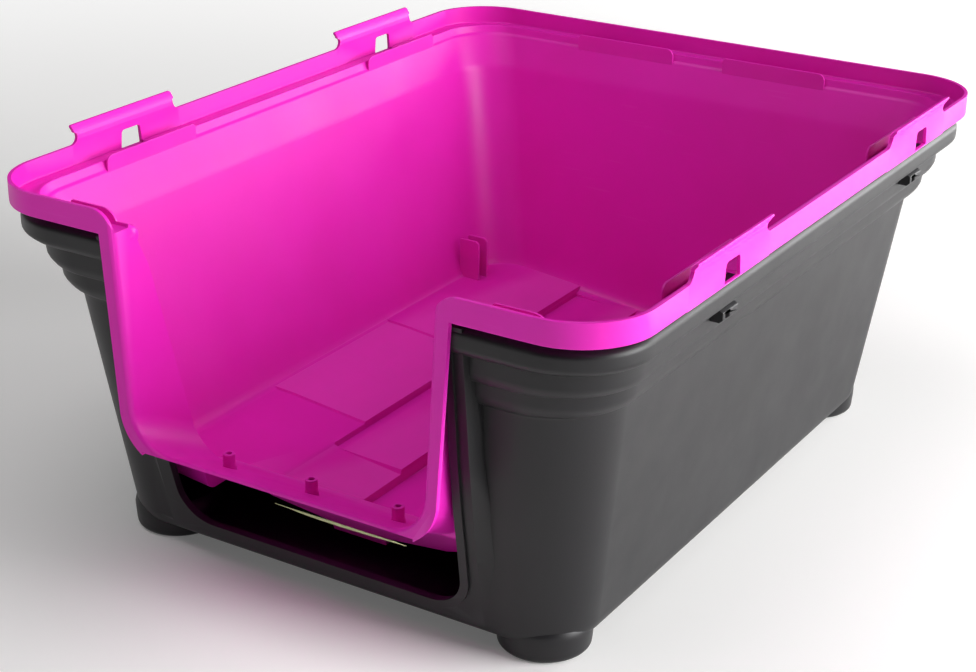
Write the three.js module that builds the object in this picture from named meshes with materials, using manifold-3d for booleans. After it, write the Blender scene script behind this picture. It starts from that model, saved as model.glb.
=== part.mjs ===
// Cat litter box with its hood turned over and nested in the base, as it is stored.
// Millimetres. X across the front, Y to the back, Z up, z = 0 under the feet.
import * as THREE from 'three';
import { mergeVertices } from 'three/addons/utils/BufferGeometryUtils.js';
import Module from 'manifold-3d';

const wasm = await Module();
wasm.setup();

// ---- Driving dimensions ----
const WALL = 2.5;                 // moulded wall of both shells
const CORNER_STEPS = 6;           // segments in each rounded corner

// Base tub: height, half width, half length and corner radius of each ring of its outer face
const FOOT_H = 10;
const BASE_OUTER = [
  [FOOT_H, 150, 204, 34], [FOOT_H + 1.8, 153.6, 207.6, 36], [FOOT_H + 6, 155.5, 209.5, 37],
  [156, 174.2, 228.2, 43], [158, 177.5, 231.4, 43.5], [162, 180.4, 234.2, 44], [170, 182, 235.5, 44.5],
  [172, 185, 238.2, 45], [176, 187.3, 240.4, 45], [187.5, 188.2, 241.2, 45],
  [189.5, 194.5, 247.2, 45], [192, 197, 249.7, 45], [201.5, 197, 249.7, 45], [204, 195, 247.7, 45],
];
const BASE_INNER = [
  [FOOT_H + 3, 146, 200, 31], [FOOT_H + 7, 152.8, 206.8, 34.5], [155, 171.5, 225.4, 41],
  [160, 176.5, 230.2, 42], [163, 178, 231.6, 42.5], [171, 179.5, 233, 43], [174, 183, 236.2, 43],
  [177, 185, 238, 43], [186, 185.5, 238.5, 43], [188.5, 189.8, 242.5, 43], [206, 189.8, 242.5, 43],
];
const FOOT_R = 26;                // corner feet
const FOOT_X = 127, FOOT_Y = 181;

// Base front: the flat leaning frame round the cutout, and the bead on the cutout's edge
const FRAME_TOP_Y = -249.4, FRAME_TOP_Z = 203.9;
const FRAME_FOOT_Y = -218, FRAME_FOOT_Z = 32;
const FRAME_HALF_TOP = 116, FRAME_HALF_FOOT = 106;
const CUT_HALF_TOP = 105.6, CUT_HALF_FOOT = 96.5;
const CUT_BOTTOM_Z = 25, CUT_R = 22;
const BEAD_W = 5, BEAD_PROUD = 1.6;

// Hood: rings of its outer and inner faces, from the roof edge up to the skirt
const ROOF_SIDE_Z = 45, ROOF_RIDGE_Z = 31;      // the roof is gabled, lowest along the middle
const LEDGE_Z = 209.4;
const SKIRT_X = 200, SKIRT_Y = 252.7, SKIRT_R = 42, SKIRT_T = 2.2;
const SKIRT_BOTTOM_Z = 206.9, SKIRT_TOP_Z = 220.7;
const HOOD_OUTER = [
  [ROOF_RIDGE_Z - WALL, 5, 194, 4], [ROOF_SIDE_Z - WALL, 136, 194, 27], [ROOF_SIDE_Z, 139, 197, 29],
  [ROOF_SIDE_Z + 7, 142.5, 200.5, 31], [183, 174.5, 229.5, 34], [SKIRT_BOTTOM_Z, 187.5, 240.2, 37],
  [SKIRT_BOTTOM_Z, SKIRT_X, SKIRT_Y, SKIRT_R], [SKIRT_TOP_Z, SKIRT_X, SKIRT_Y, SKIRT_R],
];
const HOOD_INNER = [
  [ROOF_RIDGE_Z, 5, 190, 4], [ROOF_SIDE_Z, 131, 190, 23], [ROOF_SIDE_Z + 3, 137, 195, 26.5],
  [ROOF_SIDE_Z + 10, 140.4, 198.4, 28.5], [184, 172, 227, 31.5], [LEDGE_Z, 185.5, 238.2, 35],
  [LEDGE_Z, SKIRT_X - SKIRT_T, SKIRT_Y - SKIRT_T, SKIRT_R - SKIRT_T],
  [SKIRT_TOP_Z + 1, SKIRT_X - SKIRT_T, SKIRT_Y - SKIRT_T, SKIRT_R - SKIRT_T],
];

// Hood entry: a U-shaped opening with a ramped sill that runs down to the roof
const ENTRY_TOP_Z = 232;
const ENTRY_HALF_TOP = 102.5, ENTRY_HALF_FOOT = 95;     // half width inside, at the top and at ENTRY_FOOT_Z
const ENTRY_FOOT_Z = 100, ENTRY_R = 24;
const SILL_FRONT_Z = 86, SILL_SLOPE = 0.5;              // sill height at the front, fall for each mm back
const SILL_BACK_Y = -176;
const REVEAL_T = 2.2;
const ENTRY_TOP_R = 13;                                 // the skirt's top edge turns down into the entry
const LIP_OUT = 7, LIP_DOWN = 6, LIP_T = 2.6;           // lip frame round the entry's front edge

// Latch tabs on the skirt, each with a clip window
const TAB_L = 91, TAB_TOP_Z = 231.5, TAB_T = 2.2, TAB_GAP = 0.35;
const TAB_CURL = 3;               // how far the finger lip leans out
const TAB_Y = [-132, 130];        // middles of the front and rear tabs
const WINDOW_Y = [-127, 137];
const WINDOW_L = 15, WINDOW_BOTTOM_Z = 206.5, WINDOW_TOP_Z = 218;

// Snap lugs on the base, one below each window
const LUG_X = 188.3, LUG_L = 12, LUG_H = 7, LUG_Z = 183.5, LUG_PROUD = 4;

// Small moulded pieces of the hood
const POST_X = [-57, 0, 57], POST_Y = -218, POST_R = 3.5, POST_BORE_R = 1.6, POST_H = 9;
const FIN_T = 2.4, FIN_L = 12, FIN_H = 27, FIN_NOSE = 3;
const FIN_AT = [[-130.5, 151], [-130.5, 160.5]];
const RIB_X = 181.8, RIB_Y = 234.5, RIB_BOTTOM_Z = 199, RIB_H = 15, RIB_T = 2;   // they rise from the shoulder
const LABEL_L = 82, LABEL_W = 15, LABEL_T = 0.5, LABEL_X = 22, LABEL_SET_BACK = 10;

const BLACK = { color: 0x1d1c1f, roughness: 0.42, metalness: 0 };
const MAGENTA = { color: 0xe01fb4, roughness: 0.4, metalness: 0 };
const PAPER = { color: 0xdfe3c4, roughness: 0.8, metalness: 0 };

// ---- Helpers ----
const group = new THREE.Group();

function addMesh(name, geometry, look) {
  const mesh = new THREE.Mesh(geometry, new THREE.MeshStandardMaterial(look));
  mesh.name = name;
  group.add(mesh);
  return mesh;
}

function toSolid(geometry) {
  const bare = geometry.index ? geometry.toNonIndexed() : geometry.clone();
  for (const name of Object.keys(bare.attributes)) {
    if (name !== 'position') bare.deleteAttribute(name);
  }
  const merged = mergeVertices(bare, 1e-4);
  return new wasm.Manifold(new wasm.Mesh({
    numProp: 3,
    vertProperties: new Float32Array(merged.attributes.position.array),
    triVerts: new Uint32Array(merged.index.array),
  }));
}

function toGeometry(solid) {
  const mesh = solid.getMesh();
  const geometry = new THREE.BufferGeometry();
  geometry.setAttribute('position', new THREE.BufferAttribute(new Float32Array(mesh.vertProperties), 3));
  geometry.setIndex(new THREE.BufferAttribute(new Uint32Array(mesh.triVerts), 1));
  return geometry;
}

// Corner points only, so that every ring has the same number of them
function ringPoints(halfX, halfY, radius) {
  const corner = (cx, cy, start) => new THREE.EllipseCurve(cx, cy, radius, radius, start, start + Math.PI / 2)
    .getPoints(CORNER_STEPS);
  return [
    ...corner(halfX - radius, halfY - radius, 0), ...corner(radius - halfX, halfY - radius, Math.PI / 2),
    ...corner(radius - halfX, radius - halfY, Math.PI), ...corner(halfX - radius, radius - halfY, 1.5 * Math.PI),
  ];
}

// Closed solid stitched through rings of equal length, wound so that its faces point out
function loft(rings) {
  const count = rings[0].length;
  const at = (ring, i) => ring * count + (i % count);
  const index = [];
  for (let r = 0; r + 1 < rings.length; r++) {
    for (let i = 0; i < count; i++) {
      index.push(at(r, i), at(r, i + 1), at(r + 1, i + 1), at(r, i), at(r + 1, i + 1), at(r + 1, i));
    }
  }
  const last = rings.length - 1;
  for (let i = 1; i + 1 < count; i++) {
    index.push(at(0, 0), at(0, i + 1), at(0, i), at(last, 0), at(last, i), at(last, i + 1));
  }
  const geometry = new THREE.BufferGeometry().setFromPoints(rings.flat());
  geometry.setIndex(index);
  return toSolid(geometry);
}

function tubSolid(rows) {
  return loft(rows.map(([z, halfX, halfY, radius]) => ringPoints(halfX, halfY, radius)
    .map((p) => new THREE.Vector3(p.x, p.y, z))));
}

function box(x0, x1, y0, y1, z0, z1) {
  const geometry = new THREE.BoxGeometry(x1 - x0, y1 - y0, z1 - z0);
  geometry.translate((x0 + x1) / 2, (y0 + y1) / 2, (z0 + z1) / 2);
  return toSolid(geometry);
}

// Outline in Y and Z, drawn out along X between two planes
function prismAlongX(points, x0, x1) {
  const geometry = new THREE.ExtrudeGeometry(
    new THREE.Shape(points.map(([y, z]) => new THREE.Vector2(y, z))),
    { depth: x1 - x0, bevelEnabled: false },
  );
  geometry.rotateY(Math.PI / 2).rotateX(Math.PI / 2);
  geometry.translate(x0, 0, 0);
  return toSolid(geometry);
}

// U-shaped outline in X and Z with rounded lower corners
function uOutline(halfTop, topZ, halfFoot, bottomZ, radius) {
  const points = [new THREE.Vector2(halfTop, topZ)];
  const arc = (cx, start) => new THREE.EllipseCurve(
    cx, bottomZ + radius, radius, radius, start, start - Math.PI / 2, true,
  ).getPoints(CORNER_STEPS);
  points.push(...arc(halfFoot - radius, 0), ...arc(radius - halfFoot, -Math.PI / 2));
  points.push(new THREE.Vector2(-halfTop, topZ));
  return points;
}

// The same outline at two depths, each with its own bottom height
function uChannel(y0, y1, outlineAt) {
  const ring = (y) => outlineAt(y).map((p) => new THREE.Vector3(p.x, y, p.y));
  return loft([ring(y0), ring(y1)]);
}

function lean(z) {                // depth of the base's front frame at a height
  const t = (FRAME_TOP_Z - z) / (FRAME_TOP_Z - FRAME_FOOT_Z);
  return THREE.MathUtils.lerp(FRAME_TOP_Y, FRAME_FOOT_Y, t);
}

function sillZ(y) {
  return SILL_FRONT_Z - SILL_SLOPE * (y + SKIRT_Y);
}

// ---- Base tub ----
function leaningSlab(proud, halfTop, halfFoot, inset) {
  const low = FOOT_H + 6 + inset;
  const high = inset ? 206 : FRAME_TOP_Z;
  const ring = (z, half) => [
    new THREE.Vector3(half, lean(z) - proud + inset, z), new THREE.Vector3(half, -190, z),
    new THREE.Vector3(-half, -190, z), new THREE.Vector3(-half, lean(z) - proud + inset, z),
  ];
  return loft([ring(low, halfFoot), ring(high, halfTop)]);
}

function cutoutOutline(grow) {
  const topZ = FRAME_TOP_Z + 6, bottomZ = CUT_BOTTOM_Z - grow;
  return () => uOutline(CUT_HALF_TOP + grow, topZ, CUT_HALF_FOOT + grow, bottomZ, CUT_R + grow);
}

function makeBase() {
  const frame = leaningSlab(0, FRAME_HALF_TOP, FRAME_HALF_FOOT, 0);
  const bead = leaningSlab(BEAD_PROUD, FRAME_HALF_TOP, FRAME_HALF_TOP, 0)
    .intersect(uChannel(-270, -200, cutoutOutline(BEAD_W)))
    .intersect(box(-150, 150, FRAME_TOP_Y, -200, 0, FRAME_TOP_Z - 1));
  const hollow = tubSolid(BASE_INNER).add(leaningSlab(0, FRAME_HALF_TOP - WALL, FRAME_HALF_FOOT - WALL, 3.2));
  const cutout = uChannel(-270, -150, cutoutOutline(0));
  const tub = tubSolid(BASE_OUTER).add(frame).add(bead).subtract(hollow).subtract(cutout);
  addMesh('base_tub', toGeometry(tub), BLACK);
}

function makeFeet() {
  const profile = [[0, 0], [FOOT_R - 3, 0], [FOOT_R - 1, 1], [FOOT_R, 3], [FOOT_R, FOOT_H], [0, FOOT_H]];
  const points = profile.map(([r, z]) => new THREE.Vector2(r, z));
  for (const [end, sy] of [['front', -1], ['rear', 1]]) {
    for (const [side, sx] of [['left', -1], ['right', 1]]) {
      const foot = new THREE.LatheGeometry(points, 24);
      foot.rotateX(Math.PI / 2);
      const mesh = addMesh(`foot_${end}_${side}`, toGeometry(toSolid(foot)), BLACK);
      mesh.position.set(sx * FOOT_X, sy * FOOT_Y, 0);
    }
  }
}

function makeLugs() {
  for (const [end, y] of [['front', WINDOW_Y[0]], ['rear', WINDOW_Y[1]]]) {
    for (const [side, sx] of [['left', -1], ['right', 1]]) {
      const x = sx * LUG_X;
      const outline = [
        [-LUG_H / 2, 0], [LUG_H / 2, 0], [LUG_H / 2, 1], [-LUG_H / 2 + 1, LUG_PROUD], [-LUG_H / 2, LUG_PROUD],
      ];
      const shape = new THREE.Shape(outline.map(([z, out]) => new THREE.Vector2(sx * (out + 0.3), z)));
      const lug = new THREE.ExtrudeGeometry(shape, { depth: LUG_L, bevelEnabled: false });
      lug.rotateX(Math.PI / 2);
      lug.translate(x, LUG_L / 2, 0);
      const solid = toSolid(lug);
      const mesh = addMesh(`snap_lug_${end}_${side}`, toGeometry(solid), BLACK);
      mesh.position.set(0, y, LUG_Z);
    }
  }
}

// ---- Hood ----
function entryOutline(grow) {
  return (y) => {
    const bottom = sillZ(y) - grow;
    const slope = (ENTRY_HALF_TOP - ENTRY_HALF_FOOT) / (ENTRY_TOP_Z - ENTRY_FOOT_Z);
    const half = ENTRY_HALF_FOOT - slope * (ENTRY_FOOT_Z - bottom - ENTRY_R) + grow;
    return uOutline(ENTRY_HALF_TOP + grow, ENTRY_TOP_Z, half, bottom, ENTRY_R + grow);
  };
}

// What is cut away where the skirt's top edge turns down into the entry
function topCorner(sx) {
  const x = ENTRY_HALF_TOP + ENTRY_TOP_R - 0.5, z = SKIRT_TOP_Z - ENTRY_TOP_R;
  const round = new THREE.CylinderGeometry(ENTRY_TOP_R, ENTRY_TOP_R, 60, 32);   // its axis is along Y
  round.translate(sx * x, -SKIRT_Y, z);
  const [x0, x1] = [sx * (x - ENTRY_TOP_R - 2), sx * x].sort((a, b) => a - b);
  return box(x0, x1, -SKIRT_Y - 5, -SKIRT_Y + 8, z, SKIRT_TOP_Z + 1).subtract(toSolid(round));
}

function makeHood() {
  const under = (drop, half) => prismAlongX([
    [-SKIRT_Y - 20, sillZ(-SKIRT_Y - 20) - drop], [SILL_BACK_Y, sillZ(SILL_BACK_Y) - drop],
    [SILL_BACK_Y, 0], [-SKIRT_Y - 20, 0]], -half, half);
  const sideHalf = ENTRY_HALF_FOOT - 3;
  const tub = tubSolid(HOOD_OUTER).subtract(under(WALL, sideHalf - WALL));
  const channel = uChannel(-SKIRT_Y, SILL_BACK_Y, entryOutline(REVEAL_T));
  const lipOutline = uOutline(
    ENTRY_HALF_TOP + LIP_OUT + 3, ENTRY_TOP_Z, ENTRY_HALF_FOOT + LIP_OUT + 2,
    SILL_FRONT_Z - LIP_DOWN - 3, ENTRY_R + 6,
  );
  const lip = uChannel(-SKIRT_Y, -SKIRT_Y + LIP_T, () => lipOutline);
  const hollow = tubSolid(HOOD_INNER).subtract(under(0, sideHalf));
  const opening = uChannel(-SKIRT_Y - 10, SILL_BACK_Y + 6, entryOutline(0));
  const above = box(-230, 230, -280, 280, SKIRT_TOP_Z, ENTRY_TOP_Z + 20);
  let hood = tub.add(channel).add(lip).subtract(hollow).subtract(opening).subtract(above);
  for (const sx of [-1, 1]) hood = hood.subtract(topCorner(sx));
  for (const [i, y] of TAB_Y.entries()) {
    for (const sx of [-1, 1]) {
      const [x0, x1] = sx > 0 ? [SKIRT_X - TAB_T - 0.3, SKIRT_X + 5] : [-SKIRT_X - 5, -SKIRT_X + TAB_T + 0.3];
      hood = hood.subtract(box(x0, x1, y - TAB_L / 2 - TAB_GAP, y + TAB_L / 2 + TAB_GAP, 200, 230));
      const notch = [sx * (SKIRT_X - 10), sx * (SKIRT_X + 5)].sort((a, b) => a - b);
      const w = WINDOW_Y[i];
      hood = hood.subtract(box(notch[0], notch[1], w - WINDOW_L / 2, w + WINDOW_L / 2, 200, LEDGE_Z + 5));
    }
  }
  addMesh('hood_shell', toGeometry(hood), MAGENTA);
  return hood;
}

function makeTabs() {
  const topZ = TAB_TOP_Z - SKIRT_BOTTOM_Z;
  for (const [i, end] of ['front', 'rear'].entries()) {
    for (const [side, sx] of [['left', -1], ['right', 1]]) {
      // section: straight up the skirt, then leaning out into the finger lip
      const section = [[0, 0], [0, topZ - 6], [TAB_CURL, topZ - 1], [TAB_CURL, topZ],
        [TAB_CURL - 1.5, topZ], [-TAB_T, topZ - 5.2], [-TAB_T, 0]];
      const shape = new THREE.Shape(section.map(([out, z]) => new THREE.Vector2(sx * out, z)));
      const plate = new THREE.ExtrudeGeometry(shape, { depth: TAB_L, bevelEnabled: false });
      plate.rotateX(Math.PI / 2);
      plate.translate(sx * SKIRT_X, TAB_Y[i] + TAB_L / 2, SKIRT_BOTTOM_Z);
      const w = WINDOW_Y[i];
      const window = box(sx * SKIRT_X - 10, sx * SKIRT_X + 10, w - WINDOW_L / 2, w + WINDOW_L / 2,
        WINDOW_BOTTOM_Z + 2, WINDOW_TOP_Z);
      const shoulder = (y0, y1) => box(sx * SKIRT_X - 10, sx * SKIRT_X + 10, y0, y1, SKIRT_TOP_Z + 4, TAB_TOP_Z + 1);
      let tab = toSolid(plate).subtract(window);
      tab = tab.subtract(shoulder(TAB_Y[i] - TAB_L / 2 - 1, TAB_Y[i] - TAB_L / 2 + 2.5));
      tab = tab.subtract(shoulder(TAB_Y[i] + TAB_L / 2 - 2.5, TAB_Y[i] + TAB_L / 2 + 1));
      addMesh(`latch_tab_${end}_${side}`, toGeometry(tab), MAGENTA);
    }
  }
}

function makePosts() {
  const profile = [[POST_BORE_R, 3.5], [POST_R, 3.5], [POST_R, POST_H + 2], [POST_BORE_R, POST_H + 2]];
  const points = [...profile, profile[0]].map(([r, z]) => new THREE.Vector2(r, z));
  for (const [i, side] of ['left', 'middle', 'right'].entries()) {
    const post = new THREE.LatheGeometry(points, 16);
    post.rotateX(Math.PI / 2);
    post.translate(POST_X[i], POST_Y, sillZ(POST_Y) - 2);
    const gap = prismAlongX([[-SKIRT_Y, sillZ(-SKIRT_Y) + 0.3], [SILL_BACK_Y, sillZ(SILL_BACK_Y) + 0.3],
      [SILL_BACK_Y, 0], [-SKIRT_Y, 0]], -90, 90);
    addMesh(`sill_post_${side}`, toGeometry(toSolid(post).subtract(gap)), MAGENTA);
  }
}

function makeFins() {
  for (const [i, [x, y]] of FIN_AT.entries()) {
    const floor = ROOF_SIDE_Z + 3;
    const outline = new THREE.Shape();
    outline.moveTo(-FIN_L / 2, 0);
    outline.lineTo(FIN_L / 2, 0);
    outline.lineTo(FIN_L / 2, FIN_H - FIN_NOSE);
    outline.absarc(FIN_L / 2 - FIN_NOSE, FIN_H - FIN_NOSE, FIN_NOSE, 0, Math.PI / 2, false);
    outline.lineTo(-FIN_L / 2, FIN_H);
    const fin = new THREE.ExtrudeGeometry(outline, { depth: FIN_T, bevelEnabled: false, curveSegments: 4 });
    fin.rotateX(Math.PI / 2);
    const mesh = addMesh(`inner_fin_${i + 1}`, toGeometry(toSolid(fin)), MAGENTA);
    mesh.position.set(x, y + FIN_T / 2, floor);
  }
}

// A thin rib that stands on the shoulder beside the ledge, with one rounded end
function makeRib(name, hood, x, y, length, alongX) {
  const outline = new THREE.Shape();
  outline.moveTo(-length / 2, 0);
  outline.lineTo(length / 2, 0);
  outline.lineTo(length / 2, RIB_H - 5);
  outline.absarc(length / 2 - 5, RIB_H - 5, 5, 0, Math.PI / 2, false);
  outline.lineTo(-length / 2 + 2, RIB_H);
  const rib = new THREE.ExtrudeGeometry(outline, { depth: RIB_T, bevelEnabled: false, curveSegments: 5 });
  rib.rotateX(Math.PI / 2);
  rib.translate(0, RIB_T / 2, 0);
  if (!alongX) rib.rotateZ(-Math.PI / 2);
  rib.translate(x, y, RIB_BOTTOM_Z);
  const block = box(-185.6, 185.6, -238.4, 238.4, RIB_BOTTOM_Z - 1, LEDGE_Z + RIB_H);
  const solid = toSolid(rib).intersect(block).subtract(hood).subtract(hood.translate([0, 0, 0.3]));
  const above = solid.decompose().sort((a, b) => b.boundingBox().max[2] - a.boundingBox().max[2])[0];
  addMesh(name, toGeometry(above), MAGENTA);
}

function makeRibs(hood) {
  for (const [side, sx] of [['left', -1], ['right', 1]]) {
    makeRib(`guide_rib_front_${side}`, hood, sx * RIB_X, WINDOW_Y[0] + 2, 80, false);
    makeRib(`guide_rib_rear_${side}`, hood, sx * RIB_X, WINDOW_Y[1] + 1, 80, false);
    makeRib(`guide_rib_back_${side}`, hood, sx * 57, RIB_Y, 76, true);
    makeRib(`guide_rib_stub_${side}`, hood, sx * 135, -RIB_Y, 28, true);
  }
}

function makeLabel() {
  const label = new THREE.BoxGeometry(LABEL_L, LABEL_W, LABEL_T);
  const mesh = addMesh('underside_label', toGeometry(toSolid(label)), PAPER);
  const y = -SKIRT_Y + LABEL_SET_BACK;
  mesh.rotation.x = -Math.atan(SILL_SLOPE);
  mesh.position.set(LABEL_X, y, sillZ(y) - WALL - 1.6);
}

makeBase();
makeFeet();
makeLugs();
const hoodSolid = makeHood();
makeTabs();
makePosts();
makeFins();
makeRibs(hoodSolid);
makeLabel();

export default group;
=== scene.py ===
import math

import bmesh
import bpy
from mathutils import Matrix, Vector


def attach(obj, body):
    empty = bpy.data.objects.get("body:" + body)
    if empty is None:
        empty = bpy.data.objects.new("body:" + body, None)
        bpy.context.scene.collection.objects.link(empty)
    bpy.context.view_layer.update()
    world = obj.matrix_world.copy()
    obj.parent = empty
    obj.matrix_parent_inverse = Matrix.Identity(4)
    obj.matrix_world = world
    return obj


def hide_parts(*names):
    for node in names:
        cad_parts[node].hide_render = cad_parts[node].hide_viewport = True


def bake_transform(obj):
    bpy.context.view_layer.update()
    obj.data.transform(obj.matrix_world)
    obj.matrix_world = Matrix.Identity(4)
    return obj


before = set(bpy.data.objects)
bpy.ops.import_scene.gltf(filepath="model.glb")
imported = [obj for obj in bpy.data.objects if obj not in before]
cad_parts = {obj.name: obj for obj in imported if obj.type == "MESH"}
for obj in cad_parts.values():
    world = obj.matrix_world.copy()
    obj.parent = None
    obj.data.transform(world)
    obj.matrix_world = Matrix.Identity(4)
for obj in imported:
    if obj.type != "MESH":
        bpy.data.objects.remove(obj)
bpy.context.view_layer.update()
mm = 0.001
sides = {"left": -1, "right": 1}
print("frame loaded:", len(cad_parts), "nodes")


# An sRGB hex value as the linear colour that the shaders want
def linear(hexColour):
    parts = [int(hexColour[i:i + 2], 16) / 255 for i in (1, 3, 5)]
    return tuple(((p + 0.055) / 1.055) ** 2.4 if p > 0.04045 else p / 12.92 for p in parts) + (1.0,)


# Adds a node to a shader or geometry tree, with its settings and what feeds each socket
def addNode(tree, kind, links=None, **settings):
    made = tree.nodes.new(kind)
    for name, value in settings.items():
        setattr(made, name, value)
    for socket, source in (links or {}).items():
        if isinstance(source, bpy.types.NodeSocket):
            tree.links.new(source, made.inputs[socket])
        else:
            made.inputs[socket].default_value = source
    return made


def meshPiece(name, points, faces):
    mesh = bpy.data.meshes.new(name)
    mesh.from_pydata([Vector(p) * mm for p in points], [], faces)
    work = bmesh.new()
    work.from_mesh(mesh)
    if work.calc_volume(signed=True) < 0:                # keeps every closed piece facing outwards
        bmesh.ops.reverse_faces(work, faces=work.faces)
    work.to_mesh(mesh)
    work.free()
    piece = bpy.data.objects.new(name, mesh)
    bpy.context.scene.collection.objects.link(piece)
    return piece


# Makes an object's modifiers part of its mesh
def settle(piece):
    evaluated = piece.evaluated_get(bpy.context.evaluated_depsgraph_get())
    mesh = bpy.data.meshes.new_from_object(evaluated)
    piece.modifiers.clear()
    piece.data = mesh
    return piece


def combine(piece, other, operation):
    cut = piece.modifiers.new("cut", "BOOLEAN")
    cut.object = other
    cut.operation = operation
    cut.solver = "EXACT"
    settle(piece)
    bpy.data.objects.remove(other)
    return piece


mergeWithin, flatWithin = 0.03, 0.25         # mm between doubled points, degrees between faces that are one plane


# Rounds every edge sharper than the angle, apart from those that a seam or a join keeps sharp
def roundEdges(piece, width, segments=3, angle=30, keep=lambda middle: False):
    work = bmesh.new()
    work.from_mesh(piece.data)
    bmesh.ops.remove_doubles(work, verts=work.verts, dist=mergeWithin * mm)
    bmesh.ops.dissolve_limit(work, angle_limit=math.radians(flatWithin), verts=work.verts, edges=work.edges)
    weight = work.edges.layers.float.new("bevel_weight_edge")
    for edge in work.edges:
        middle = (edge.verts[0].co + edge.verts[1].co) / (2 * mm)
        if edge.calc_face_angle(0) > math.radians(angle) and not keep(middle):
            edge[weight] = 1
    work.to_mesh(piece.data)
    work.free()
    bevel = piece.modifiers.new("round", "BEVEL")
    bevel.width = width * mm
    bevel.segments = segments
    bevel.limit_method = "WEIGHT"
    bevel.miter_outer = "MITER_ARC"
    return settle(piece)


def smooth(piece, angle=38):
    piece.data.polygons.foreach_set("use_smooth", [True] * len(piece.data.polygons))
    piece.data.set_sharp_from_angle(angle=math.radians(angle))
    weigh = piece.modifiers.new("weigh", "WEIGHTED_NORMAL")
    weigh.keep_sharp = True
    return settle(piece)


# A closed body stitched through rings of equal length; a bent end is closed round its hub
def loft(name, rings, hub=None):
    count = len(rings[0])
    points = [p for one in rings for p in one]
    faces = []
    for r in range(len(rings) - 1):
        low, high = r * count, (r + 1) * count
        for i in range(count):
            j = (i + 1) % count
            faces.append((low + i, low + j, high + j, high + i))
    last = (len(rings) - 1) * count
    faces.append(tuple(range(last, last + count)))
    if hub:
        points.append(hub)
        faces += [(len(points) - 1, (i + 1) % count, i) for i in range(count)]
    else:
        faces.append(tuple(reversed(range(count))))
    return meshPiece(name, points, faces)


def boxPiece(low, high):
    xs, ys, zs = zip(low, high)
    points = [(x, y, z) for z in zs for y in ys for x in xs]
    faces = [(0, 2, 3, 1), (4, 5, 7, 6), (0, 1, 5, 4), (2, 6, 7, 3), (0, 4, 6, 2), (1, 3, 7, 5)]
    return meshPiece("box", points, faces)


# An outline drawn out along one axis: (y, z) pairs along X, or (x, z) pairs along Y
def drawnOut(outline, start, end, axis="x"):
    place = (lambda at, a, b: (at, a, b)) if axis == "x" else (lambda at, a, b: (a, at, b))
    return loft("drawnOut", [[place(at, a, b) for a, b in outline] for at in (start, end)])


def arc(centre, radius, start, end, steps=8):
    turns = [math.radians(start + (end - start) * i / steps) for i in range(steps + 1)]
    return [(centre[0] + radius * math.cos(t), centre[1] + radius * math.sin(t)) for t in turns]


# A profile of (radius, height) turned round the Z axis; it starts and ends on the axis
def turned(name, profile, steps=40):
    inner = profile[1:-1]
    rings = [[(r * math.cos(2 * math.pi * i / steps), r * math.sin(2 * math.pi * i / steps), z)
              for i in range(steps)] for r, z in inner]
    return loft(name, rings)


cornerSteps = 14


# One level of a tub: a rounded rectangle, which may hang lower along its middle
def ring(z, halfX, halfY, radius, hang=0.0, flatHalf=139.0):
    points = []
    for quarter, (signX, signY) in enumerate(((1, 1), (-1, 1), (-1, -1), (1, -1))):
        centre = (signX * (halfX - radius), signY * (halfY - radius))
        points += arc(centre, radius, 90 * quarter, 90 * quarter + 90, cornerSteps)
        points.append(((0, halfY), (-halfX, 0), (0, -halfY), (halfX, 0))[quarter])
    return [(x, y, z - hang * max(0.0, flatHalf - abs(x))) for x, y in points]


# Rows are height, half width, half length and corner radius, then the hang and how far the crease is eased
def easedRings(rows, steps=4):
    full = [list(row) + [0.0] * (6 - len(row)) for row in rows]
    eased = []
    for i, row in enumerate(full):
        here, ease = row[:5], row[5]
        if ease <= 0 or i in (0, len(full) - 1):
            eased.append(here)
            continue
        ends = []
        for there in (full[i - 1][:5], full[i + 1][:5]):
            share = min(0.49, ease / math.hypot(there[0] - here[0], there[1] - here[1]))
            ends.append([a + (b - a) * share for a, b in zip(here, there)])
        for k in range(steps + 1):
            t = k / steps
            eased.append([(1 - t) ** 2 * a + 2 * t * (1 - t) * b + t * t * c
                          for a, b, c in zip(ends[0], here, ends[1])])
    return [ring(*row) for row in eased]


# U-shaped outline in X and Z with rounded lower corners
def uOutline(halfTop, topZ, halfFoot, bottomZ, radius, steps=14):
    right = arc((halfFoot - radius, bottomZ + radius), radius, 0, -90, steps)
    left = arc((radius - halfFoot, bottomZ + radius), radius, -90, -180, steps)
    return [(halfTop, topZ)] + right + left + [(-halfTop, topZ)]


def channel(y0, y1, outlineAt):
    return loft("channel", [[(x, y, z) for x, z in outlineAt(y)] for y in (y0, y1)])


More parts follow.
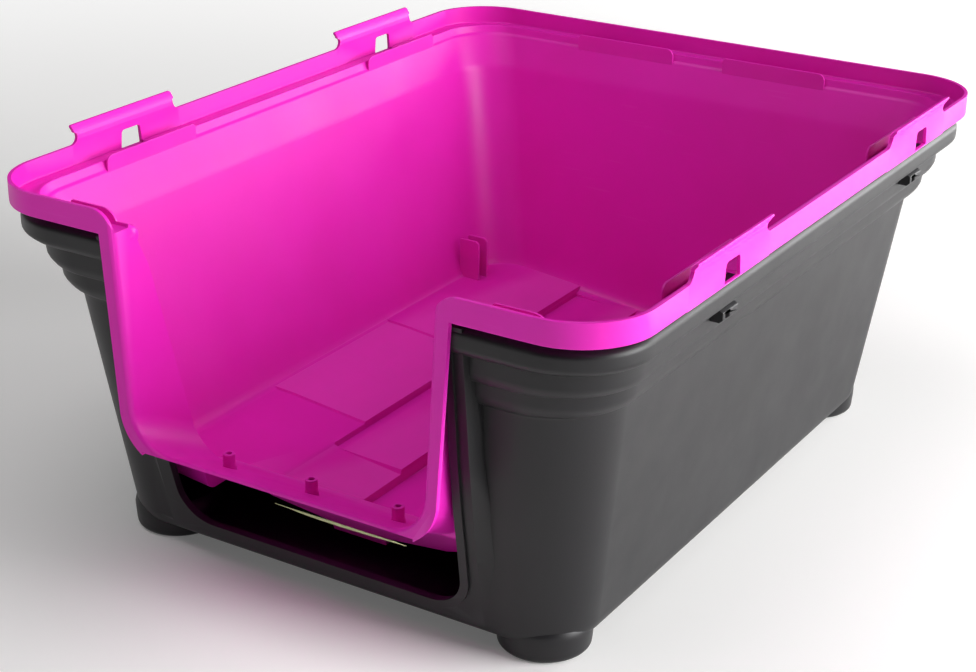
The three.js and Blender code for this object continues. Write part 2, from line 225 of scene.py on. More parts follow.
# Stands one piece on every point, turned and stretched by the point's own attributes
def copiesTree():
    tree = bpy.data.node_groups.new("copiesOnPoints", "GeometryNodeTree")
    face = tree.interface
    for name, kind in (("Geometry", "NodeSocketGeometry"), ("Piece", "NodeSocketObject"),
                       ("Material", "NodeSocketMaterial"), ("Size", "NodeSocketFloat")):
        face.new_socket(name, in_out="INPUT", socket_type=kind)
    face.new_socket("Geometry", in_out="OUTPUT", socket_type="NodeSocketGeometry")
    start = addNode(tree, "NodeGroupInput").outputs
    one = addNode(tree, "GeometryNodeObjectInfo", {"Object": start["Piece"]})
    turn = addNode(tree, "GeometryNodeInputNamedAttribute", {"Name": "turn"}, data_type="FLOAT_VECTOR")
    stretch = addNode(tree, "GeometryNodeInputNamedAttribute", {"Name": "stretch"}, data_type="FLOAT_VECTOR")
    sized = addNode(tree, "ShaderNodeVectorMath", {0: stretch.outputs[0], 3: start["Size"]}, operation="SCALE")
    rotation = addNode(tree, "FunctionNodeEulerToRotation", {0: turn.outputs[0]})
    placed = addNode(tree, "GeometryNodeInstanceOnPoints", {
        "Points": start["Geometry"], "Instance": one.outputs["Geometry"],
        "Rotation": rotation.outputs[0], "Scale": sized.outputs[0]})
    real = addNode(tree, "GeometryNodeRealizeInstances", {"Geometry": placed.outputs[0]})
    painted = addNode(tree, "GeometryNodeSetMaterial", {
        "Geometry": real.outputs[0], "Material": start["Material"]})
    addNode(tree, "NodeGroupOutput", {"Geometry": painted.outputs[0]})
    return tree


copies = copiesTree()


# Spots are (x, y, z, turn round Z in degrees, stretch along the piece's own X)
def spread(name, piece, spots, material, size=1.0):
    mesh = bpy.data.meshes.new(name)
    mesh.from_pydata([Vector(s[:3]) * mm for s in spots], [], [])
    turn = mesh.attributes.new("turn", "FLOAT_VECTOR", "POINT")
    stretch = mesh.attributes.new("stretch", "FLOAT_VECTOR", "POINT")
    for i, spot in enumerate(spots):
        turn.data[i].vector = (0, 0, math.radians(spot[3] if len(spot) > 3 else 0))
        stretch.data[i].vector = (spot[4] if len(spot) > 4 else 1, 1, 1)
    made = bpy.data.objects.new(name, mesh)
    bpy.context.scene.collection.objects.link(made)
    nodes = made.modifiers.new("copies", "NODES")
    nodes.node_group = copies
    inputs = {s.name: s.identifier for s in copies.interface.items_tree if s.in_out == "INPUT"}
    nodes[inputs["Piece"]] = piece
    nodes[inputs["Material"]] = material
    nodes[inputs["Size"]] = size
    settle(made)
    bpy.data.objects.remove(piece)
    return made


# Injection-moulded polypropylene has a fine spark-eroded grain, a waxy satin sheen and faint flow clouds;
# handled edges are worn paler, and broad faces carry a few thin scuffs.
plastics = {
    "magentaPolypropylene": {
        "colours": ("#e01db2", "#e21eb6", "#e41fb9"), "scuff": "#ee5acd", "roughness": (0.38, 0.48),
        "grain": 0.05, "subsurface": 0.12, "specular": 0.3},
    "blackPolypropylene": {
        "colours": ("#131214", "#141316", "#161518"), "scuff": "#343337", "roughness": (0.40, 0.46),
        "grain": 0.09, "subsurface": 0.0, "specular": 0.41},
}
# Pattern sizes in mm. The real grain is near 0.3 mm and is drawn coarser so that it shows.
pattern = {"cloud": 70, "patch": 110, "mottle": 30, "ripple": 45, "grain": 0.9,
           "scratch": 60, "scratchWidths": (2.2, 3.1)}


def plastic(name):
    spec = plastics[name]
    material = bpy.data.materials.new(name)
    material.use_nodes = True
    tree = material.node_tree
    shader = tree.nodes["Principled BSDF"]
    place = addNode(tree, "ShaderNodeTexCoord").outputs["Object"]
    clouds = addNode(tree, "ShaderNodeTexNoise", {
        "Vector": place, "Scale": 1 / (pattern["cloud"] * mm), "Detail": 3.0, "Roughness": 0.5})
    ramp = addNode(tree, "ShaderNodeValToRGB", {"Fac": clouds.outputs["Fac"]})
    steps = ramp.color_ramp.elements
    steps.new(0.5)
    for step, at, colour in zip(steps, (0.3, 0.5, 0.7), spec["colours"]):
        step.position = at
        step.color = linear(colour)
    # long thin scratches in two directions, kept to patches
    scratches = []
    for turn, width in zip((0.4, -0.9), pattern["scratchWidths"]):
        aligned = addNode(tree, "ShaderNodeMapping", {
            "Vector": place, "Rotation": (0.3, turn, turn),
            "Scale": (1 / (pattern["scratch"] * mm), 1 / (width * mm), 1 / (width * mm))})
        lines = addNode(tree, "ShaderNodeTexNoise", {"Vector": aligned.outputs[0], "Scale": 1.0, "Detail": 2.0})
        scratches.append(addNode(tree, "ShaderNodeMapRange", {
            "Value": lines.outputs["Fac"], "From Min": 0.68, "From Max": 0.74}).outputs[0])
    both = addNode(tree, "ShaderNodeMath", {0: scratches[0], 1: scratches[1]}, operation="MAXIMUM")
    patches = addNode(tree, "ShaderNodeTexNoise", {
        "Vector": place, "Scale": 1 / (pattern["patch"] * mm), "Detail": 1.0})
    where = addNode(tree, "ShaderNodeMapRange", {
        "Value": patches.outputs["Fac"], "From Min": 0.5, "From Max": 0.62})
    scuffed = addNode(tree, "ShaderNodeMath", {0: both.outputs[0], 1: where.outputs[0]}, operation="MULTIPLY")
    faint = addNode(tree, "ShaderNodeMath", {0: scuffed.outputs[0], 1: 0.1}, operation="MULTIPLY")
    # worn, slightly paler convex edges
    bend = addNode(tree, "ShaderNodeNewGeometry")
    edges = addNode(tree, "ShaderNodeMapRange", {
        "Value": bend.outputs["Pointiness"], "From Min": 0.53, "From Max": 0.6, "To Max": 0.35})
    wear = addNode(tree, "ShaderNodeMath", {0: faint.outputs[0], 1: edges.outputs[0]}, operation="MAXIMUM")
    colour = addNode(tree, "ShaderNodeMix", {"Factor": wear.outputs[0], "A": ramp.outputs["Color"],
                                             "B": linear(spec["scuff"])}, data_type="RGBA")
    tree.links.new(colour.outputs["Result"], shader.inputs["Base Color"])
    mottle = addNode(tree, "ShaderNodeTexNoise", {
        "Vector": place, "Scale": 1 / (pattern["mottle"] * mm), "Detail": 4.0})
    gloss = addNode(tree, "ShaderNodeMapRange", {
        "Value": mottle.outputs["Fac"], "From Min": 0.3, "From Max": 0.7,
        "To Min": spec["roughness"][0], "To Max": spec["roughness"][1]})
    tree.links.new(gloss.outputs[0], shader.inputs["Roughness"])
    grain = addNode(tree, "ShaderNodeTexNoise", {
        "Vector": place, "Scale": 1 / (pattern["grain"] * mm), "Detail": 2.0})
    ripple = addNode(tree, "ShaderNodeTexNoise", {
        "Vector": place, "Scale": 1 / (pattern["ripple"] * mm), "Detail": 1.0})
    low = addNode(tree, "ShaderNodeBump", {
        "Height": ripple.outputs["Fac"], "Strength": 0.05, "Distance": 0.2 * mm})
    fine = addNode(tree, "ShaderNodeBump", {"Height": grain.outputs["Fac"], "Strength": spec["grain"],
                                            "Distance": 0.3 * mm, "Normal": low.outputs[0]})
    tree.links.new(fine.outputs[0], shader.inputs["Normal"])
    shader.inputs["IOR"].default_value = 1.49
    shader.inputs["Specular IOR Level"].default_value = spec["specular"]
    shader.inputs["Subsurface Weight"].default_value = spec["subsurface"]
    shader.inputs["Subsurface Radius"].default_value = (1.0, 0.3, 0.8)
    shader.inputs["Subsurface Scale"].default_value = 2 * mm
    return material


magenta = plastic("magentaPolypropylene")
black = plastic("blackPolypropylene")


# Uncoated paper, a little yellowed, with fibre flecks and a soft tooth
def paperMaterial():
    material = bpy.data.materials.new("uncoatedPaper")
    material.use_nodes = True
    tree = material.node_tree
    shader = tree.nodes["Principled BSDF"]
    place = addNode(tree, "ShaderNodeTexCoord").outputs["Object"]
    fibre = addNode(tree, "ShaderNodeTexNoise", {"Vector": place, "Scale": 1 / (2 * mm), "Detail": 5.0})
    ramp = addNode(tree, "ShaderNodeValToRGB", {"Fac": fibre.outputs["Fac"]})
    for step, at, colour in zip(ramp.color_ramp.elements, (0.3, 0.7), ("#8d9560", "#c3c99a")):
        step.position = at
        step.color = linear(colour)
    tree.links.new(ramp.outputs["Color"], shader.inputs["Base Color"])
    tooth = addNode(tree, "ShaderNodeBump", {
        "Height": fibre.outputs["Fac"], "Strength": 0.3, "Distance": 0.05 * mm})
    tree.links.new(tooth.outputs[0], shader.inputs["Normal"])
    shader.inputs["Roughness"].default_value = 0.8
    return material


paper = paperMaterial()
print("materials made")


def finished(piece, body, slot, material, *nodes, bend=None):
    piece.data.materials.clear()
    piece.data.materials.append(material)
    if bend:        # given a bend, the piece is left without a body and its transform is baked into its mesh
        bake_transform(piece)
    else:
        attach(piece, body)
    if nodes:
        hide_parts(*nodes)
    print(piece.name + ":", len(piece.data.polygons), "faces")
    return piece


# The base tub. Its rows are height, half width, half length, corner radius, hang and easing.
base = {
    "outer": [(10, 150, 204, 34), (11.8, 153.6, 207.6, 36, 0, 2), (16, 155.5, 209.5, 37, 0, 3),
              (153, 173.8, 227.8, 42.8), (156, 174.4, 228.4, 43, 0, 1.2),
              (158, 178.2, 232.1, 43.5, 0, 1.6), (163, 181.6, 235.2, 44.2, 0, 2.4),
              (170, 182.4, 235.9, 44.5), (171.6, 182.6, 236.1, 44.6, 0, 0.8), (172.6, 185.4, 238.6, 45, 0, 1.2),
              (177, 187.9, 240.9, 45, 0, 2), (187, 188.4, 241.4, 45), (188.2, 188.6, 241.5, 45, 0, 0.8),
              (189, 193.6, 246.4, 45, 0, 1.2), (192.4, 197, 249.7, 45, 0, 2), (201, 197, 249.7, 45, 0, 2),
              (204, 193.8, 246.6, 45, 0, 1.6), (204, 186, 239, 43)],
    "inner": [(13, 146, 200, 31), (17, 152.8, 206.8, 34.5, 0, 3), (155, 171.5, 225.4, 41, 0, 2),
              (160, 176.5, 230.2, 42, 0, 2), (163, 178, 231.6, 42.5), (171, 179.5, 233, 43, 0, 2),
              (174, 183, 236.2, 43, 0, 2), (177, 185, 238, 43),
              (188.8, 185.6, 238.6, 43, 0, 1), (191.6, 189.8, 242.5, 43, 0, 1), (206, 189.8, 242.5, 43)],
    # the front frame: height, depth, and how far its sides splay out to the wall
    "frame": [(16, -210.4, 20), (34, -214.4, 18), (60, -220.4, 13), (90, -227.6, 6), (120, -233.9, 2.5),
              (203.9, -249.4, 1.2)],
    "frameHalf": (116, 106), "frameHollow": 3.2, "frameBack": -190, "splayDeep": 9, "wall": 2.5, "above": 206,
    "cutFrom": -270, "cutTo": -150, "beadTo": -200,
    "cutHalf": (105.6, 96.5), "cutBottom": 25, "cutRadius": 22, "beadWide": 5, "beadProud": 1.6,
    "round": 1.1, "lugX": 188.3, "lugZ": 186.2, "lugYs": (-117, 146), "pinhole": (19, -0.2, 1.0),
}


def frameSlab(proud, halfTop, halfFoot, inset, top):
    rings = []
    (lowest, _, _), (highest, _, _) = base["frame"][0], base["frame"][-1]
    for z, y, splay in base["frame"]:
        half = halfFoot + (halfTop - halfFoot) * (z - lowest) / (highest - lowest)
        z = lowest + inset if z == lowest else top if z == highest else z
        front, side = y - proud + inset, half + (0 if proud or inset else splay)
        turnY, back = y + base["splayDeep"], base["frameBack"]
        rings.append([(half, front, z), (side, turnY, z), (side, back, z),
                      (-side, back, z), (-side, turnY, z), (-half, front, z)])
    return loft("slab", rings)


def cutout(grow, y0, y1):
    outline = uOutline(base["cutHalf"][0] + grow, base["frame"][-1][0] + 6, base["cutHalf"][1] + grow,
                       base["cutBottom"] - grow, base["cutRadius"] + grow)
    return channel(y0, y1, lambda y: outline)


def makeBase():
    topHalf, footHalf = base["frameHalf"]
    frameTopZ, frameTopY, _ = base["frame"][-1]
    tub = loft("baseTub", easedRings(base["outer"]))
    combine(tub, frameSlab(0, topHalf, footHalf, 0, frameTopZ), "UNION")
    bead = frameSlab(base["beadProud"], topHalf, topHalf, 0, frameTopZ)
    combine(bead, cutout(base["beadWide"], base["cutFrom"], base["beadTo"]), "INTERSECT")
    combine(bead, boxPiece((-150, frameTopY, 0), (150, base["beadTo"], frameTopZ - 1)), "INTERSECT")
    combine(tub, bead, "UNION")
    hollow = loft("hollow", easedRings(base["inner"]))
    wall = base["wall"]
    combine(hollow, frameSlab(0, topHalf - wall, footHalf - wall, base["frameHollow"], base["above"]), "UNION")
    combine(tub, hollow, "DIFFERENCE")
    combine(tub, cutout(0, base["cutFrom"], base["cutTo"]), "DIFFERENCE")
    along, up, radius = base["pinhole"]
    for side in sides.values():
        for y in base["lugYs"]:
            x = side * base["lugX"]
            hole = drawnOut(arc((y + along, base["lugZ"] + up), radius, 0, 345, 23), x - 1.2, x + 1.2)
            combine(tub, hole, "DIFFERENCE")
    return smooth(roundEdges(tub, base["round"], angle=34))


finished(makeBase(), "base", "base_plastic", black, "base_tub")

# Round feet whose upper part sinks into the tub's corners
feet = {"radius": 26, "height": 10, "sole": 23, "xs": (-127, 127), "ys": (-181, 181)}
footRadius, footHeight = feet["radius"], feet["height"]
foot = turned("foot", [(0, 1.2), (0.4, 1.2), (feet["sole"] - 6, 1.2), (feet["sole"] - 5, 0)] +
              arc((footRadius - 3.6, 3.6), 3.6, -90, 0, 6) +
              [(footRadius + 0.5, footHeight), (footRadius + 0.7, footHeight + 4),
               (footRadius - 0.2, footHeight + 8), (footRadius - 4, footHeight + 12),
               (0.4, footHeight + 12), (0, footHeight + 12)], 64)
cornerFeet = spread("cornerFeet", foot, [(x, y, 0) for x in feet["xs"] for y in feet["ys"]], black)
finished(smooth(cornerFeet), "base", "base_plastic", black,
         *[f"foot_{end}_{side}" for end in ("front", "rear") for side in sides])

lugs = {"long": 18, "high": 9, "proud": 7.4, "sunk": 3, "slot": 5, "slotFrom": 3, "roof": 3.4, "ramp": 3,
        "round": 0.6}


# A ramped hook with a slot in its underside, facing +X
def makeLug():
    h, proud, half, sunk = lugs["high"] / 2, lugs["proud"], lugs["long"] / 2, lugs["sunk"]
    side = [(-sunk, -h), (proud - 2, -h), (proud, -h + 2), (proud, h - lugs["ramp"]), (1, h), (-sunk, h)]
    hook = drawnOut(side, -half, half, "y")
    slotY = -half + lugs["slotFrom"]
    slot = boxPiece((0.8, slotY, -h - 1), (proud + 1, slotY + lugs["slot"], h - lugs["roof"]))
    combine(hook, slot, "DIFFERENCE")
    return roundEdges(hook, lugs["round"], 2)


spots = [(side * base["lugX"], y, base["lugZ"], 0 if side > 0 else 180)
         for side in sides.values() for y in base["lugYs"]]
finished(smooth(spread("snapLugs", makeLug(), spots, black)), "base", "base_plastic", black,
         *[f"snap_lug_{end}_{side}" for end in ("front", "rear") for side in sides])


# The hood, upside down: its roof is the floor that shows, and its skirt is at the top
hood = {
    "wall": 2.4,
    "floorZ": 45.0, "hang": 0.107,        # the floor's height at the side, and its fall for each mm to the middle
    "ledgeZ": 209.4, "skirtLow": 206.9, "skirtTop": 220.7, "skirt": (200.0, 252.7, 42.0), "skirtWall": 2.2,
    "sillFront": 86.0, "sillSlope": 0.5, "sillBack": -176.0, "sillHalf": 92.0,
    "entryTop": 102.5, "entryFoot": 95.0, "entryFootZ": 100.0, "entryRadius": 24.0, "reveal": 2.2,
    "lipOut": 7.0, "lipDown": 8.4, "lipThick": 3.0, "topCorner": 13.0,
    "roll": [(-6, 3.4), (0, 3.4), (0.35, 2.3), (1.1, 1.3), (2.3, 0.5), (4.2, 0)], "round": 0.9,
}
floor = {
    "centreHalf": 16.0, "rampHalf": (58.0, 68.0), "middleHalf": 65.0, "kneeHalf": 122.0, "kneeRise": 0.055,
    "centreZ": 24.0, "middleFront": (28.9, 33.8), "middleBack": (31.9, 33.8), "outerZ": 38.1,
    "panelFront": -108.0, "stepYs": (-76.0, 52.0), "step": 1.3, "riser": 0.4,
    "blockHalf": (175, 235), "blockFoot": -12,
}


def floorHeight(x, y):
    out, (rampIn, rampOut) = abs(x), floor["rampHalf"]
    knee = floor["kneeHalf"]
    rise = hood["hang"] * (min(out, knee) - floor["middleHalf"]) + floor["kneeRise"] * max(0, out - knee)
    outer = floor["outerZ"] + rise + floor["step"] * (sum(y > s for s in floor["stepYs"]) - 1)
    ahead = y < floor["panelFront"]
    low, high = floor["middleFront"] if ahead else floor["middleBack"]
    if out <= floor["centreHalf"]:
        return floor["centreZ"]
    if out > (rampOut if ahead else floor["middleHalf"]):
        return outer
    inner = low + (high - low) * (min(out, rampIn) - floor["centreHalf"]) / (rampIn - floor["centreHalf"])
    return inner + (outer - inner) * max(0, out - rampIn) / (rampOut - rampIn) if ahead else inner


# A block whose top is the stepped floor, moved in by the wall for its underside
def floorBlock(drop):
    e = floor["riser"]
    outs = [floor[k] + d for k in ("centreHalf", "middleHalf") for d in (-e, e)]
    outs += [*floor["rampHalf"], floor["kneeHalf"], floor["blockHalf"][0]]
    places = sorted([(-v - drop, -v) for v in outs] + [(0, 0)] + [(v + drop, v) for v in outs])
    lines = (floor["panelFront"],) + floor["stepYs"]
    end = floor["blockHalf"][1]
    rows = [(-end, -end)] + [(s + drop + d, s + d) for s in lines for d in (-e, e)] + [(end, end)]
    columns, count = len(places), len(rows)
    points = [(x, y, floorHeight(realX, realY) - drop) for y, realY in rows for x, realX in places]
    top = len(points)
    points += [(x, y, floor["blockFoot"]) for x, y, z in points]
    faces = []
    for j in range(count - 1):
        for i in range(columns - 1):
            a = j * columns + i
            quad = (a, a + 1, a + columns + 1, a + columns)
            faces += [quad, tuple(top + k for k in reversed(quad))]
    edge = list(range(columns)) + [j * columns + columns - 1 for j in range(1, count)]
    edge += [(count - 1) * columns + i for i in range(columns - 2, -1, -1)]
    edge += [j * columns for j in range(count - 2, 0, -1)]
    faces += [(b, a, top + a, top + b) for a, b in zip(edge, edge[1:] + edge[:1])]
    return meshPiece("floorBlock", points, faces)


# The sill's height falls towards the inside
def sillZ(y):
    return hood["sillFront"] - hood["sillSlope"] * (y + hood["skirt"][1])


# The entry's opening; flares are (depth, growth) pairs that roll its front edge
def entry(grow, flares):
    rings = []
    for y, flare in flares:
        rings.append([(x, y, z) for x, z in entryOutline(y, grow + flare)])
    return loft("entry", rings)


def entryOutline(y, grow):
    bottom = sillZ(y) - grow
    slope = (hood["entryTop"] - hood["entryFoot"]) / (232 - hood["entryFootZ"])
    half = hood["entryFoot"] - slope * (hood["entryFootZ"] - bottom - hood["entryRadius"]) + grow
    return uOutline(hood["entryTop"] + grow, 232, half, bottom, hood["entryRadius"] + grow)


# Everything under the sill, which slopes down and inwards
def belowSill(drop, half):
    front, back = -hood["skirt"][1] - 20, hood["sillBack"] - drop
    below = -8
    outline = [(front, sillZ(front) - drop), (back, sillZ(back) - drop), (back + 10, below), (front, below)]
    return drawnOut(outline, -half, half)


tabs = {
    "spans": ((-177.5, -82.8), (82.0, 176.0)), "top": 231.5, "thick": 2.2, "curl": 3.0, "shoulder": 5.0,
    "lipEnd": 3.4,
    "windowYs": (-127.0, 137.0), "windowLong": 18.0, "windowLow": 207.6, "windowTop": 219.2, "windowLean": 0.9,
    "windowCorner": 2.2, "bend": (215.0, 227.0),
}


def makeHood():
    wall, hang, floorZ, ledge = (hood[k] for k in ("wall", "hang", "floorZ", "ledgeZ"))
    (sx, sy, sr), low, top, thin = hood["skirt"], hood["skirtLow"], hood["skirtTop"], hood["skirtWall"]
    lowest = 139 * hang                                   # how far the middle of the roof hangs below its sides
    ridge, groove = ledge + 1.2, ledge - 0.6
    shell = loft("hoodShell", easedRings([
        (10, 131, 190, 19, hang), (floorZ - 3.4, 134, 192, 22, hang), (floorZ - 1.4, 140.6, 198.6, 29, hang, 5),
        (floorZ + 9, 143.4, 201.2, 31, hang, 4), (84, 150.2, 207.2, 31.6, 0), (183, 174.5, 229.5, 34, 0, 5),
        (low, 187.5, 240.2, 37, 0, 1.2), (low, sx, sy, sr, 0, 1.2), (top + 2, sx, sy, sr)]), (0, 0, 10 - lowest))
    combine(shell, entry(hood["reveal"], [(-sy, 0), (hood["sillBack"], 0)]), "UNION")
    lipOutline = uOutline(hood["entryTop"] + hood["lipOut"] + 3, 232, hood["entryFoot"] + hood["lipOut"] + 2,
                          hood["sillFront"] - hood["lipDown"], hood["entryRadius"] + 6)
    combine(shell, channel(-sy, -sy + hood["lipThick"], lambda y: lipOutline), "UNION")
    combine(shell, belowSill(wall, hood["sillHalf"] - wall), "DIFFERENCE")
    combine(shell, floorBlock(wall), "DIFFERENCE")
    hollow = loft("hollow", easedRings([
        (5, 128, 187, 18, hang), (floorZ - 1.5, 130, 189, 20, hang), (floorZ + 0.4, 137.5, 195.6, 27, hang, 5),
        (floorZ + 9, 140.4, 198.4, 28.5, hang, 4), (84, 147.6, 204.7, 29.1, 0), (184, 172, 227, 31.5, 0, 2.5),
        (204.6, 182.6, 235.9, 33.6, 0, 0.8), (205.6, 184.0, 237.1, 34.2, 0, 0.8), (ridge, 185.8, 238.6, 35, 0, 0.5),
        (ridge, 186.9, 239.6, 35.5, 0, 0.4), (groove, 187.4, 240.1, 35.5, 0, 0.5),
        (groove, sx - thin, sy - thin, sr - thin, 0, 1.2),
        (top + 4, sx - thin, sy - thin, sr - thin)]), (0, 0, 5 - lowest))
    combine(hollow, floorBlock(0), "DIFFERENCE")
    combine(hollow, belowSill(0.03, hood["sillHalf"]), "DIFFERENCE")
    combine(shell, hollow, "DIFFERENCE")
    combine(shell, entry(0, [(-sy + y, flare) for y, flare in hood["roll"]] + [(-190, 0)]), "DIFFERENCE")
    combine(shell, boxPiece((-230, -280, top), (230, 280, 260)), "DIFFERENCE")
    radius = hood["topCorner"]
    for side in sides.values():
        centre = hood["entryTop"] + radius - 0.5
        outline = [(centre, top + 4)] + arc((centre, top - radius), radius, 90, 180, 14)
        outline.append((centre - radius, top + 4))
        corner = drawnOut([(side * x, z) for x, z in outline], -sy - 10, -sy + 14, "y")
        combine(shell, corner, "DIFFERENCE")
        for (tabFront, tabBack), windowY in zip(tabs["spans"], tabs["windowYs"]):
            xs = sorted((side * (sx - thin - 0.6), side * (sx + 5)))
            combine(shell, boxPiece((xs[0], tabFront, low - 3), (xs[1], tabBack, top + 9)), "DIFFERENCE")
            half = tabs["windowLong"] / 2
            notch = [(windowY - half - 1.6, low - 3), (windowY + half + 1.6, low - 3),
                     (windowY + half - 0.6, ledge + 2), (windowY - half + 0.6, ledge + 2)]
            combine(shell, drawnOut(notch, *sorted((side * (sx - 9), side * (sx + 5)))), "DIFFERENCE")
    ends = [y for span in tabs["spans"] for y in span]
    atTab = lambda p: abs(p.x) > sx - 4 and min(abs(p.y - y) for y in ends) < 0.2
    return smooth(roundEdges(shell, hood["round"], angle=34, keep=atTab))


finished(makeHood(), "hood", "hood_plastic", magenta, "hood_shell")


# A tab with a curled finger lip and a window
def makeTab(end, side):
    sign, index = sides[side], ("front", "rear").index(end)
    (front, back), windowY = tabs["spans"][index], tabs["windowYs"][index]
    y, reach = (front + back) / 2, (back - front) / 2
    sx, low, top = hood["skirt"][0], hood["skirtLow"], hood["skirtTop"]
    peak, thick, curl = tabs["top"], tabs["thick"], tabs["curl"]
    section = [(0, low), (0, peak - 8), (0.25, peak - 6), (0.9, peak - 4.2), (1.8, peak - 2.6), (curl, peak - 1.2),
               (curl, peak), (curl - 1.6, peak), (0.2, peak - 1.6), (-1.1, peak - 3.4), (-1.9, peak - 5.4),
               (-thick, peak - 8), (-thick, low)]
    tab = drawnOut([(sign * (sx + out), z) for out, z in section], y - reach, y + reach, "y")
    r = tabs["shoulder"]
    rise = [(-reach, low - 1), (-reach, top)] + arc((-reach, top + r), r, -90, 0, 8)[1:]
    lipEnd = -reach + tabs["lipEnd"]
    rise += [(-reach + r, peak - 4.6), (lipEnd, peak - 4), (lipEnd, peak - 0.8), (lipEnd + 0.8, peak + 0.5)]
    outline = [(y + a, z) for a, z in rise] + [(y - a, z) for a, z in reversed(rise)]
    combine(tab, drawnOut(outline, *sorted((sign * (sx - 9), sign * (sx + 9)))), "INTERSECT")
    half, slant = tabs["windowLong"] / 2, tabs["windowLean"]
    windowLow, windowTop = tabs["windowLow"], tabs["windowTop"]
    corner = tabs["windowCorner"]
    window = [(windowY - half, windowLow), (windowY + half, windowLow)]
    window += arc((windowY + half - slant - corner, windowTop - corner), corner, 0, 90, 6)
    window += arc((windowY - half + slant + corner, windowTop - corner), corner, 90, 180, 6)
    combine(tab, drawnOut(window, *sorted((sign * (sx - 9), sign * (sx + 9)))), "DIFFERENCE")
    atSkirt = lambda p: min(abs(p.y - y + reach), abs(p.y - y - reach)) < 0.2
    tab.name = f"latchTab_{end}_{side}"
    return smooth(roundEdges(tab, hood["round"], angle=34, keep=atSkirt), 50)


for end in ("front", "rear"):
    for side in sides:
        body = f"latch_tab_{end}_{side}"
        finished(makeTab(end, side), body, "hood_plastic", magenta, body, bend=tabs["bend"])
print("shells and tabs made")

# Guide ribs on the shoulder; "move" shifts each side's ribs along and up
ribs = {"x": 183.2, "y": 235.9, "low": 201.5, "high": 12.4, "thick": 1.4, "nose": 5.0, "long": 80.0, "round": 0.45,
        "move": {-1: (1.5, 0), 1: (-5.5, 2.5)}, "backX": 57, "backLong": 76}
stubs = {"long": 34.0, "high": 12.4, "nose": 10.5, "y": -238.9, "z": 204.5, "xs": (-126, 143)}


# A thin plate along X whose far upper corner is rounded; its other end slopes down
def makeRib(length, high, thick, nose, tail):
    outline = [(-length / 2, 0), (length / 2, 0)] + arc((length / 2 - nose, high - nose), nose, 0, 90, 8)
    outline += [(-length / 2 + tail, high), (-length / 2, high - tail)]
    return roundEdges(drawnOut(outline, -thick / 2, thick / 2, "y"), ribs["round"], 2)


sideSpots = [(side * ribs["x"], y + ribs["move"][side][0], ribs["low"] + ribs["move"][side][1], -90)
             for side in sides.values() for y in tabs["windowYs"]]
backSpots = [(side * ribs["backX"], ribs["y"], ribs["low"], 0, ribs["backLong"] / ribs["long"])
             for side in sides.values()]
rib = makeRib(ribs["long"], ribs["high"], ribs["thick"], ribs["nose"], 2)
guideRibs = spread("guideRibs", rib, sideSpots + backSpots, magenta)
finished(smooth(guideRibs), "hood", "hood_plastic", magenta, *[
    f"guide_rib_{place}_{side}" for place in ("front", "rear", "back") for side in sides])
stub = makeRib(stubs["long"], stubs["high"], ribs["thick"], stubs["nose"], 2)
stubRibs = spread("stubRibs", stub, [(x, stubs["y"], stubs["z"]) for x in stubs["xs"]], magenta)
finished(smooth(stubRibs), "hood", "hood_plastic", magenta, *[f"guide_rib_stub_{side}" for side in sides])

# Two upright fins in the far left corner
fins = {"thick": 2.0, "long": 16.0, "high": 33.0, "nose": 3.6, "z": 42.0,
        "at": ((-132.5, 151), (-131.5, 160.5))}
fin = makeRib(fins["long"], fins["high"], fins["thick"], fins["nose"], 0.6)
uprightFins = spread("uprightFins", fin, [(x, y, fins["z"]) for x, y in fins["at"]], magenta)
finished(smooth(uprightFins), "hood", "hood_plastic", magenta, "inner_fin_1", "inner_fin_2")

# Hollow posts along the sill
posts = {"xs": (-57, 0, 57), "y": -218, "radius": 3.5, "bore": 1.6, "high": 9.0, "sunk": 4.0, "deep": 6.0}
r, bore, high = posts["radius"], posts["bore"], posts["high"]
foot, end = -posts["sunk"], high - posts["deep"]
post = turned("post", [(0, foot), (0.4, foot), (r + 0.9, foot), (r + 0.5, 0.6), (r, 1.8), (r, high - 0.6),
                       (r - 0.2, high - 0.15), (r - 0.6, high), (bore + 0.3, high), (bore, high - 0.4),
                       (bore, end), (0.3, end), (0, end)], 32)
sillPosts = spread("sillPosts", post, [(x, posts["y"], sillZ(posts["y"]) + 0.2) for x in posts["xs"]], magenta)
finished(smooth(sillPosts), "hood", "hood_plastic", magenta,
         *[f"sill_post_{side}" for side in ("left", "middle", "right")])

# soft swellings at the top of the reveals
knobs = {"at": (105.2, -237.5, 202.0), "radii": (4.6, 8.5, 7.0)}
knob = turned("knob", arc((0, 0), 1, -90, 90, 12), 32)
for point in knob.data.vertices:
    point.co = [c * r for c, r in zip(point.co, knobs["radii"])]
x, y, z = knobs["at"]
revealKnobs = spread("revealKnobs", knob, [(side * x, y, z) for side in sides.values()], magenta)
finished(smooth(revealKnobs), "hood", "hood_plastic", magenta)

# A blank paper label that droops from the underside of the sill's front edge
label = {"x": (0, 76), "y": (-250.4, -238.4), "z": 77.4, "fall": 0.7, "droop": 1.1, "thick": 0.35, "steps": 12}
labelFront, labelBack = label["y"]
rings = []
for i in range(label["steps"] + 1):
    t = i / label["steps"]
    x = label["x"][0] + (label["x"][1] - label["x"][0]) * t
    droop = label["droop"] * math.sin(math.pi * t ** 0.7)
    backZ = label["z"] - label["fall"] * (labelBack - labelFront) - droop
    rings.append([(x, labelFront, label["z"]), (x, labelBack, backZ), (x, labelBack, backZ - label["thick"]),
                  (x, labelFront, label["z"] - label["thick"])])
blankLabel = loft("blankLabel", rings)
finished(smooth(blankLabel), "hood", "label_paper", paper, "underside_label")
print("small pieces made")


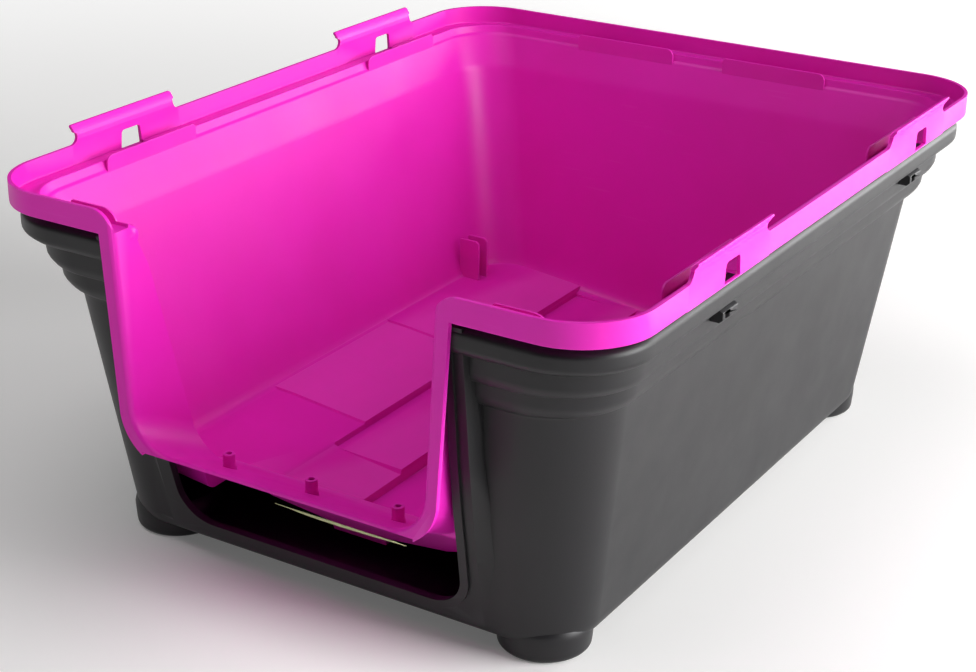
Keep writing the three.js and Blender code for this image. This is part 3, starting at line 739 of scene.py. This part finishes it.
# The floor sheet's half size, and its own glow as (distance in mm, strength), which keeps it pale far from the lamps
glow = {"half": 20000, "near": (450, 0.10), "far": (1600, 0.62)}
half = glow["half"]
corners = [(-half, -half, 0), (half, -half, 0), (half, half, 0), (-half, half, 0)]
ground = meshPiece("floorSheet", corners, [(0, 1, 2, 3)])
sheet = bpy.data.materials.new("paleFloor")
sheet.use_nodes = True
tree = sheet.node_tree
for socket, value in {"Base Color": linear("#fbfaf9"), "Roughness": 0.9, "Specular IOR Level": 0.1,
                      "Emission Color": linear("#ffffff")}.items():
    tree.nodes["Principled BSDF"].inputs[socket].default_value = value
place = addNode(tree, "ShaderNodeTexCoord").outputs["Object"]
distance = addNode(tree, "ShaderNodeVectorMath", {0: place}, operation="LENGTH")
rise = addNode(tree, "ShaderNodeMapRange", {
    "Value": distance.outputs["Value"], "From Min": glow["near"][0] * mm, "From Max": glow["far"][0] * mm,
    "To Min": glow["near"][1], "To Max": glow["far"][1]}, interpolation_type="SMOOTHSTEP")
tree.links.new(rise.outputs[0], tree.nodes["Principled BSDF"].inputs["Emission Strength"])
ground.data.materials.append(sheet)

# The camera's place in mm, its angles in degrees and its lens in mm
view = {"place": (586.3, -987.1, 573.3), "turn": 31.685, "tilt": 23.072, "roll": 0.712, "lens": 73.33}


def makeCamera():
    turn, tilt, roll = (math.radians(view[k]) for k in ("turn", "tilt", "roll"))
    back = Vector((math.sin(turn) * math.cos(tilt), -math.cos(turn) * math.cos(tilt), math.sin(tilt)))
    right = (-back).cross(Vector((0, 0, 1))).normalized()
    up = right.cross(-back)
    across = math.cos(roll) * right + math.sin(roll) * up
    upright = math.cos(roll) * up - math.sin(roll) * right
    data = bpy.data.cameras.new("camera")
    data.lens = view["lens"]
    camera = bpy.data.objects.new("camera", data)
    axes = Matrix((across, upright, back)).transposed().to_4x4()
    camera.matrix_world = Matrix.Translation(Vector(view["place"]) * mm) @ axes
    bpy.context.scene.collection.objects.link(camera)
    bpy.context.scene.camera = camera


makeCamera()

# Places and aims in metres, sizes in metres, powers in watts
lamps = {
    "rightKey": {"place": (2.0, 0.5, 0.66), "aim": (0, 0, 0.15), "size": 1.5, "power": 84},
    "topFill": {"place": (-0.2, -0.3, 1.15), "aim": (0, 0.1, 0), "size": 0.9, "power": 5.4},
    "backStrip": {"place": (1.0, 1.9, 0.5), "aim": (0.18, 0, 0.12), "size": 1.0, "power": 26},
}
for name, spec in lamps.items():
    data = bpy.data.lights.new(name, "AREA")
    data.size = spec["size"]
    data.energy = spec["power"]
    lamp = bpy.data.objects.new(name, data)
    lamp.location = spec["place"]
    lamp.rotation_euler = (Vector(spec["aim"]) - Vector(spec["place"])).to_track_quat("-Z", "Y").to_euler()
    bpy.context.scene.collection.objects.link(lamp)

# a dim ceiling and a pale band along the horizon
sky = {"band": 0.55, "ceiling": 0.04, "from": 0.04, "to": 0.22}
world = bpy.data.worlds.new("studio")
world.use_nodes = True
tree = world.node_tree
tree.nodes["Background"].inputs["Color"].default_value = linear("#ffffff")
direction = addNode(tree, "ShaderNodeTexCoord").outputs["Generated"]
height = addNode(tree, "ShaderNodeSeparateXYZ", {0: direction}).outputs["Z"]
fade = addNode(tree, "ShaderNodeMapRange", {"Value": height, "From Min": sky["from"], "From Max": sky["to"],
                                            "To Min": sky["band"], "To Max": sky["ceiling"]})
tree.links.new(fade.outputs[0], tree.nodes["Background"].inputs["Strength"])
bpy.context.scene.world = world
bpy.context.scene.view_settings.view_transform = "Standard"     # keeps the strong magenta from fading
print("stage, camera and lamps made")
